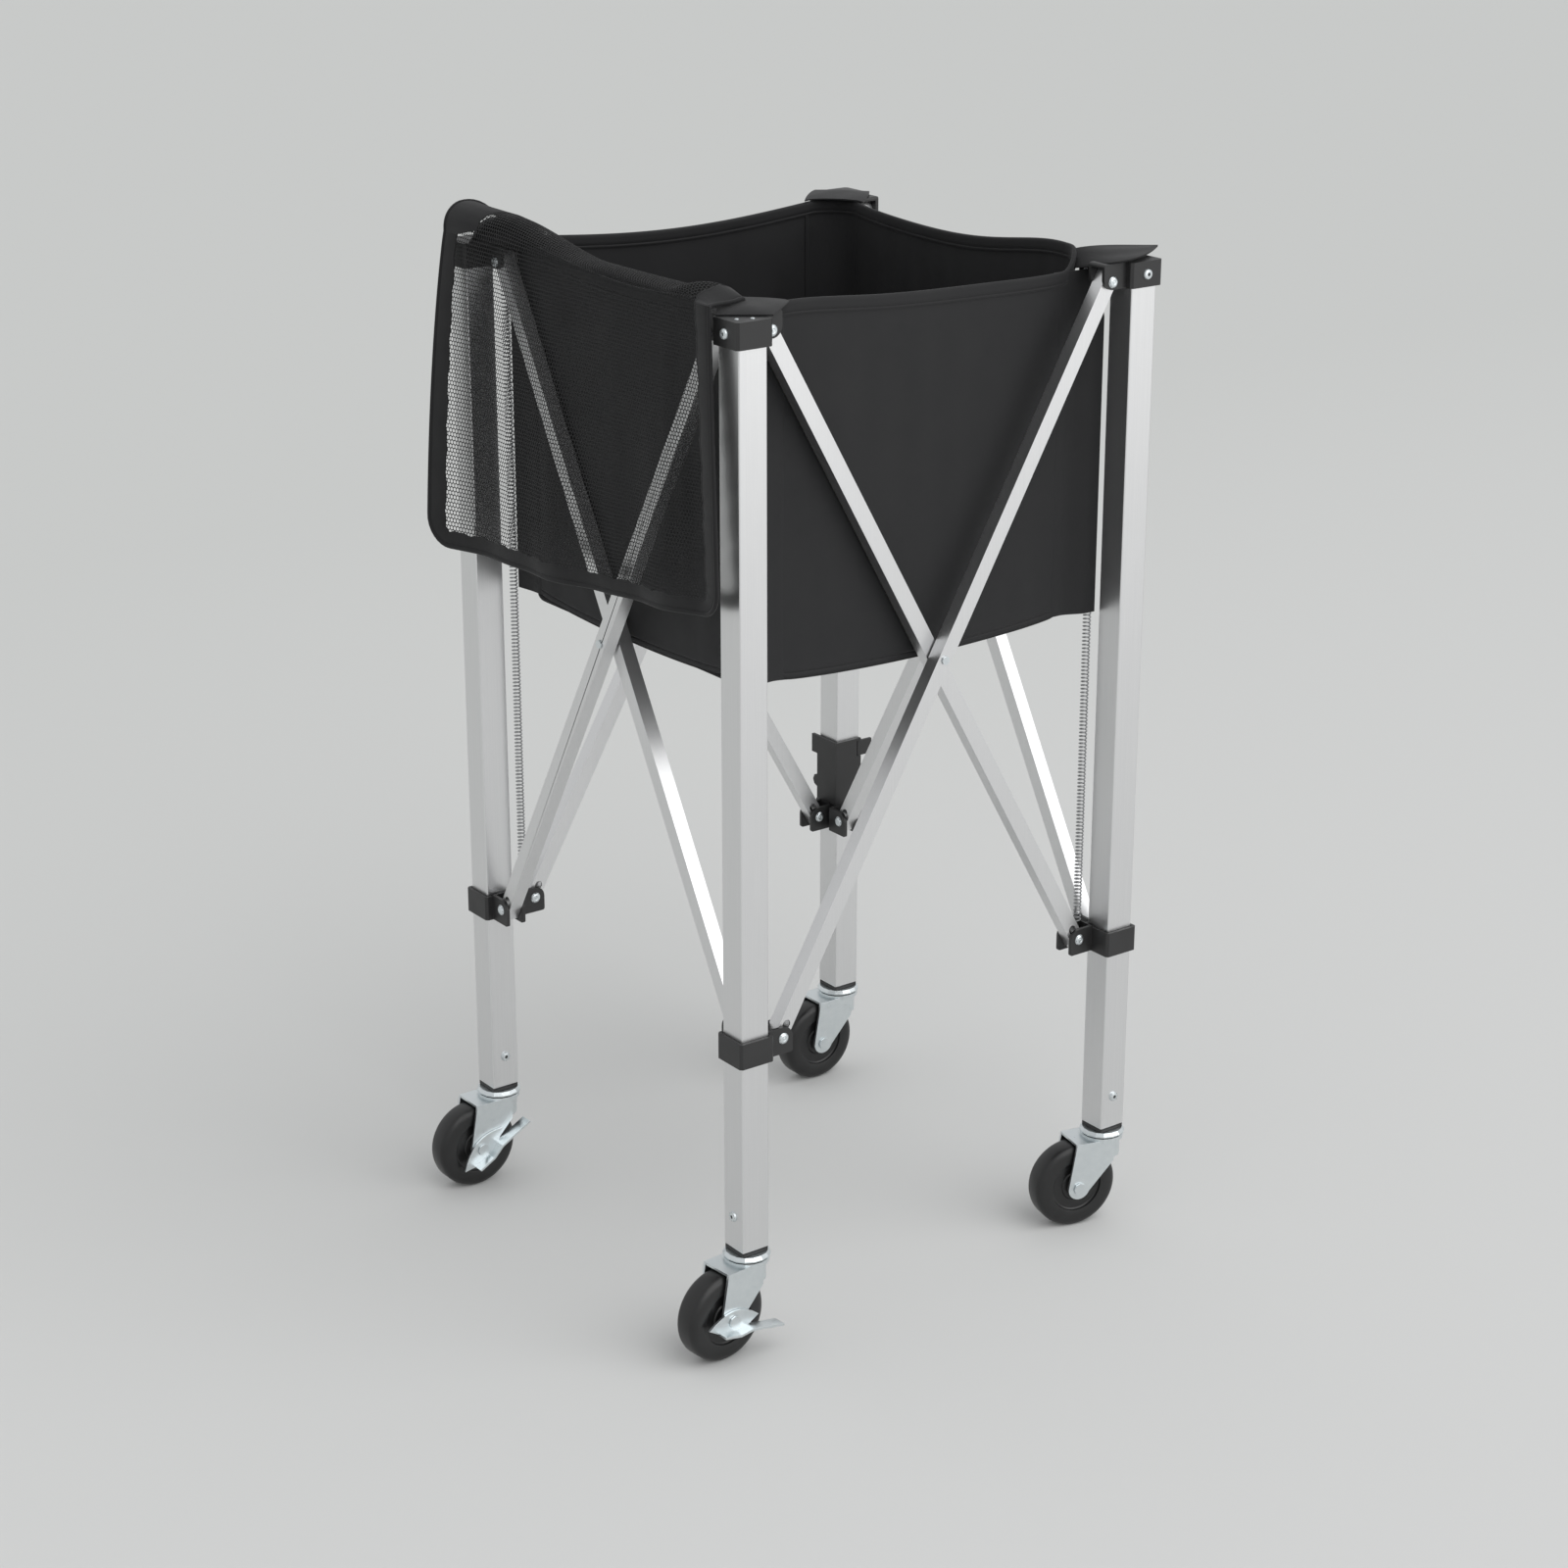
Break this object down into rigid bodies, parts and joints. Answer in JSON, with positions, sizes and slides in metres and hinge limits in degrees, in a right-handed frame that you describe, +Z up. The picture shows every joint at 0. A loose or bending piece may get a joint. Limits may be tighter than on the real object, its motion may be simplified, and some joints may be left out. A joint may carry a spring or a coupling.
{
  "type": "folding ball cart",
  "caption": "Folding cart on swivel casters: square legs, scissor bars and sliding collars carry an open fabric bag with a mesh lid.",
  "frame": {"origin": "on the floor, under the middle of the whole cart's box", "axes": "+Z up; -Y towards the front side, whose bars face the picture's right; -X towards the side with the lid"},
  "size_m": [0.46, 0.4214, 0.862],
  "materials": {
    "aluminium": "satin brushed",
    "zinc": "bright zinc plate",
    "spring_steel": "bright drawn wire",
    "black_plastic": "satin moulded",
    "wheel": "hard, lightly moulded",
    "bag_fabric": "plain woven polyester",
    "lid_mesh": "open warp-knit mesh"
  },
  "bodies": {
    "front_left_leg": {"leg_front_left": "aluminium", "top_cap_front_left": "black_plastic", "caster_plug_front_left": "black_plastic", "bag_front_wall": "bag_fabric", "bag_left_wall": "bag_fabric"},
    "front_right_leg": {"leg_front_right": "aluminium", "top_cap_front_right": "black_plastic", "caster_plug_front_right": "black_plastic", "bag_right_wall": "bag_fabric", "lift_spring_front_right": "spring_steel"},
    "rear_right_leg": {"leg_rear_right": "aluminium", "top_cap_rear_right": "black_plastic", "caster_plug_rear_right": "black_plastic"},
    "rear_left_leg": {"leg_rear_left": "aluminium", "top_cap_rear_left": "black_plastic", "caster_plug_rear_left": "black_plastic", "bag_rear_wall": "bag_fabric", "lift_spring_rear_left": "spring_steel"},
    "front_left_collar": {"sliding_collar_front_left": "black_plastic"},
    "front_right_collar": {"sliding_collar_front_right": "black_plastic"},
    "rear_right_collar": {"sliding_collar_rear_right": "black_plastic", "latch_housing": "black_plastic"},
    "rear_left_collar": {"sliding_collar_rear_left": "black_plastic"},
    "latch_lever": {"latch_lever": "black_plastic"},
    "front_outer_bar": {"front_outer_bar": "aluminium", "front_crossing_rivet": "zinc"},
    "front_inner_bar": {"front_inner_bar": "aluminium"},
    "right_outer_bar": {"right_outer_bar": "aluminium", "right_crossing_rivet": "zinc"},
    "right_inner_bar": {"right_inner_bar": "aluminium"},
    "rear_outer_bar": {"rear_outer_bar": "aluminium", "rear_crossing_rivet": "zinc"},
    "rear_inner_bar": {"rear_inner_bar": "aluminium"},
    "left_outer_bar": {"left_outer_bar": "aluminium", "left_crossing_rivet": "zinc"},
    "left_inner_bar": {"left_inner_bar": "aluminium"},
    "front_left_fork": {"caster_fork_front_left": "zinc", "caster_raceway_front_left": "zinc", "caster_axle_front_left": "zinc"},
    "front_left_wheel": {"caster_wheel_front_left": "wheel"},
    "front_right_fork": {"caster_fork_front_right": "zinc", "caster_raceway_front_right": "zinc", "caster_axle_front_right": "zinc"},
    "front_right_wheel": {"caster_wheel_front_right": "wheel"},
    "rear_right_fork": {"caster_fork_rear_right": "zinc", "caster_raceway_rear_right": "zinc", "caster_axle_rear_right": "zinc"},
    "rear_right_wheel": {"caster_wheel_rear_right": "wheel"},
    "rear_left_fork": {"caster_fork_rear_left": "zinc", "caster_raceway_rear_left": "zinc", "caster_axle_rear_left": "zinc"},
    "rear_left_wheel": {"caster_wheel_rear_left": "wheel"},
    "front_left_brake": {"brake_lever_front_left": "zinc"},
    "rear_left_brake": {"brake_lever_rear_left": "zinc"},
    "mesh_lid": {"mesh_lid": "lid_mesh"},
    "bag_floor_front": {"bag_floor_front": "bag_fabric"},
    "bag_floor_rear": {"bag_floor_rear": "bag_fabric"}
  },
  "joints": [
    {"name": "fold", "type": "slide", "parent": "front_left_leg", "child": "front_right_leg", "axis": [-1, 0, 0], "range_m": [0, 0.22], "stiffness_N_per_m": 12, "springref_m": -0.4, "deforming": ["bag_front_wall", "bag_rear_wall"]},
    {"name": "rear_left_leg_slide", "type": "slide", "parent": "front_left_leg", "child": "rear_left_leg", "axis": [0, -1, 0], "range_m": [0, 0.22], "deforming": ["bag_left_wall"]},
    {"name": "rear_right_leg_slide", "type": "slide", "parent": "front_right_leg", "child": "rear_right_leg", "axis": [0, -1, 0], "range_m": [0, 0.22], "deforming": ["bag_right_wall"]},
    {"name": "front_left_collar_slide", "type": "slide", "parent": "front_left_leg", "child": "front_left_collar", "axis": [0, 0, -1], "range_m": [0, 0.07585]},
    {"name": "front_right_collar_slide", "type": "slide", "parent": "front_right_leg", "child": "front_right_collar", "axis": [0, 0, -1], "range_m": [0, 0.07585], "deforming": ["lift_spring_front_right"]},
    {"name": "rear_right_collar_slide", "type": "slide", "parent": "rear_right_leg", "child": "rear_right_collar", "axis": [0, 0, -1], "range_m": [0, 0.07585]},
    {"name": "rear_left_collar_slide", "type": "slide", "parent": "rear_left_leg", "child": "rear_left_collar", "axis": [0, 0, -1], "range_m": [0, 0.07585], "deforming": ["lift_spring_rear_left"]},
    {"name": "front_outer_bar_pivot", "type": "hinge", "parent": "front_right_leg", "child": "front_outer_bar", "pos_m": [0.17652, -0.18033, 0.808], "axis": [0, -1, 0], "range_deg": [0, 21.27]},
    {"name": "front_inner_bar_pivot", "type": "hinge", "parent": "front_left_leg", "child": "front_inner_bar", "pos_m": [-0.13548, -0.16703, 0.808], "axis": [0, 1, 0], "range_deg": [0, 21.27]},
    {"name": "right_outer_bar_pivot", "type": "hinge", "parent": "rear_right_leg", "child": "right_outer_bar", "pos_m": [0.20552, 0.16067, 0.808], "axis": [1, 0, 0], "range_deg": [0, 21.27]},
    {"name": "right_inner_bar_pivot", "type": "hinge", "parent": "front_right_leg", "child": "right_inner_bar", "pos_m": [0.19222, -0.15133, 0.808], "axis": [-1, 0, 0], "range_deg": [0, 21.27]},
    {"name": "rear_outer_bar_pivot", "type": "hinge", "parent": "rear_left_leg", "child": "rear_outer_bar", "pos_m": [-0.13548, 0.18967, 0.808], "axis": [0, 1, 0], "range_deg": [0, 21.27]},
    {"name": "rear_inner_bar_pivot", "type": "hinge", "parent": "rear_right_leg", "child": "rear_inner_bar", "pos_m": [0.17652, 0.17637, 0.808], "axis": [0, -1, 0], "range_deg": [0, 21.27]},
    {"name": "left_outer_bar_pivot", "type": "hinge", "parent": "front_left_leg", "child": "left_outer_bar", "pos_m": [-0.16448, -0.15133, 0.808], "axis": [-1, 0, 0], "range_deg": [0, 21.27]},
    {"name": "left_inner_bar_pivot", "type": "hinge", "parent": "rear_left_leg", "child": "left_inner_bar", "pos_m": [-0.15118, 0.16067, 0.808], "axis": [1, 0, 0], "range_deg": [0, 21.27]},
    {"name": "bag_floor_front_fold", "type": "hinge", "parent": "front_left_leg", "child": "bag_floor_front", "pos_m": [0.02052, -0.15633, 0.531], "axis": [1, 0, 0], "range_deg": [0, 71.51], "deforming": ["bag_floor_front"]},
    {"name": "bag_floor_rear_fold", "type": "hinge", "parent": "rear_left_leg", "child": "bag_floor_rear", "pos_m": [0.02052, 0.16567, 0.531], "axis": [-1, 0, 0], "range_deg": [0, 71.51], "deforming": ["bag_floor_rear"]},
    {"name": "front_left_swivel", "type": "hinge", "parent": "front_left_leg", "child": "front_left_fork", "pos_m": [-0.16448, -0.18033, 0.08], "axis": [0, 0, 1], "continuous": true},
    {"name": "front_left_wheel_spin", "type": "hinge", "parent": "front_left_fork", "child": "front_left_wheel", "pos_m": [-0.19237, -0.18277, 0.037], "axis": [-0.0872, 0.9962, 0], "continuous": true},
    {"name": "front_left_brake_lever", "type": "hinge", "parent": "front_left_fork", "child": "front_left_brake", "pos_m": [-0.19237, -0.18277, 0.037], "axis": [0.0872, -0.9962, 0], "range_deg": [0, 42]},
    {"name": "front_right_swivel", "type": "hinge", "parent": "front_right_leg", "child": "front_right_fork", "pos_m": [0.20552, -0.18033, 0.08], "axis": [0, 0, 1], "continuous": true},
    {"name": "front_right_wheel_spin", "type": "hinge", "parent": "front_right_fork", "child": "front_right_wheel", "pos_m": [0.17824, -0.17403, 0.037], "axis": [0.225, 0.9744, 0], "continuous": true},
    {"name": "rear_right_swivel", "type": "hinge", "parent": "rear_right_leg", "child": "rear_right_fork", "pos_m": [0.20552, 0.18967, 0.08], "axis": [0, 0, 1], "continuous": true},
    {"name": "rear_right_wheel_spin", "type": "hinge", "parent": "rear_right_fork", "child": "rear_right_wheel", "pos_m": [0.17752, 0.18967, 0.037], "axis": [0, 1, 0], "continuous": true},
    {"name": "rear_left_swivel", "type": "hinge", "parent": "rear_left_leg", "child": "rear_left_fork", "pos_m": [-0.16448, 0.18967, 0.08], "axis": [0, 0, 1], "continuous": true},
    {"name": "rear_left_wheel_spin", "type": "hinge", "parent": "rear_left_fork", "child": "rear_left_wheel", "pos_m": [-0.19248, 0.18967, 0.037], "axis": [0, 1, 0], "continuous": true},
    {"name": "rear_left_brake_lever", "type": "hinge", "parent": "rear_left_fork", "child": "rear_left_brake", "pos_m": [-0.19248, 0.18967, 0.037], "axis": [0, -1, 0], "range_deg": [-42, 0]},
    {"name": "lid_hinge", "type": "hinge", "parent": "front_left_leg", "child": "mesh_lid", "pos_m": [-0.18548, 0.00467, 0.83], "axis": [0, 1, 0], "range_deg": [0, 270], "deforming": ["mesh_lid"]},
    {"name": "latch_press", "type": "hinge", "parent": "rear_right_collar", "child": "latch_lever", "pos_m": [0.21502, 0.17527, 0.319], "axis": [0, 0, -1], "range_deg": [0, 12], "stiffness_Nm_per_rad": 0.05}
  ],
  "couplings": [
    {"joint": "rear_left_leg_slide", "follows": "fold", "ratio": 1},
    {"joint": "rear_right_leg_slide", "follows": "fold", "ratio": 1},
    {"joint": "front_left_collar_slide", "follows": "fold", "ratio": 0.34475},
    {"joint": "front_right_collar_slide", "follows": "fold", "ratio": 0.34475},
    {"joint": "rear_right_collar_slide", "follows": "fold", "ratio": 0.34475},
    {"joint": "rear_left_collar_slide", "follows": "fold", "ratio": 0.34475},
    {"joint": "front_outer_bar_pivot", "follows": "fold", "rad_per_m": 1.6871},
    {"joint": "front_inner_bar_pivot", "follows": "fold", "rad_per_m": 1.6871},
    {"joint": "right_outer_bar_pivot", "follows": "fold", "rad_per_m": 1.6871},
    {"joint": "right_inner_bar_pivot", "follows": "fold", "rad_per_m": 1.6871},
    {"joint": "rear_outer_bar_pivot", "follows": "fold", "rad_per_m": 1.6871},
    {"joint": "rear_inner_bar_pivot", "follows": "fold", "rad_per_m": 1.6871},
    {"joint": "left_outer_bar_pivot", "follows": "fold", "rad_per_m": 1.6871},
    {"joint": "left_inner_bar_pivot", "follows": "fold", "rad_per_m": 1.6871},
    {"joint": "bag_floor_front_fold", "follows": "fold", "rad_per_m": 5.6735},
    {"joint": "bag_floor_rear_fold", "follows": "fold", "rad_per_m": 5.6735}
  ]
}
